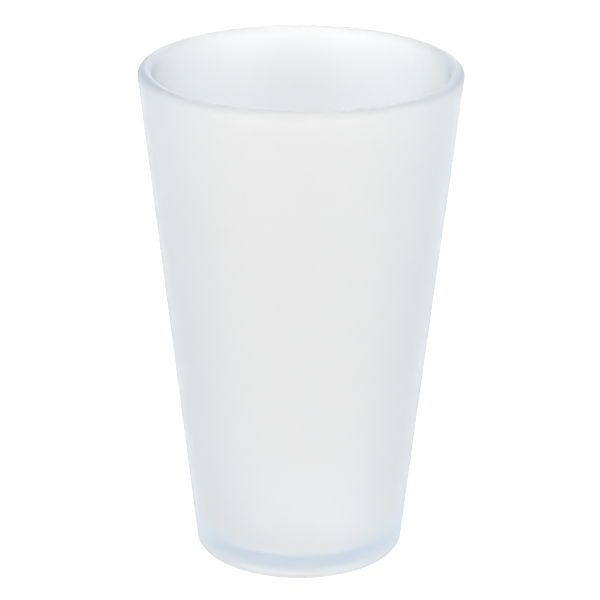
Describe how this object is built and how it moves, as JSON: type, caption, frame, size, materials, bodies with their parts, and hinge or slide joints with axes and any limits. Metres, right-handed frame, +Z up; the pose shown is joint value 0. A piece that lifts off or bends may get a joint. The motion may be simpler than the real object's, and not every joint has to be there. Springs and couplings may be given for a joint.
{
  "type": "pint tumbler",
  "caption": "Straight tapered drinking tumbler moulded in milky translucent silicone, with a thick rounded lip and a flat foot ring.",
  "frame": {"origin": "centre of the resting face of the foot ring, on the axis of the tumbler", "axes": "+Z up along the axis towards the open mouth; the body is a solid of revolution, so +X and +Y are free"},
  "size_m": [0.092, 0.092, 0.1456],
  "materials": {
    "silicone": "milky translucent moulded silicone, smooth satin surface, cool blue where the section is thick"
  },
  "bodies": {
    "root": {"pint_tumbler": "silicone"}
  },
  "joints": []
}
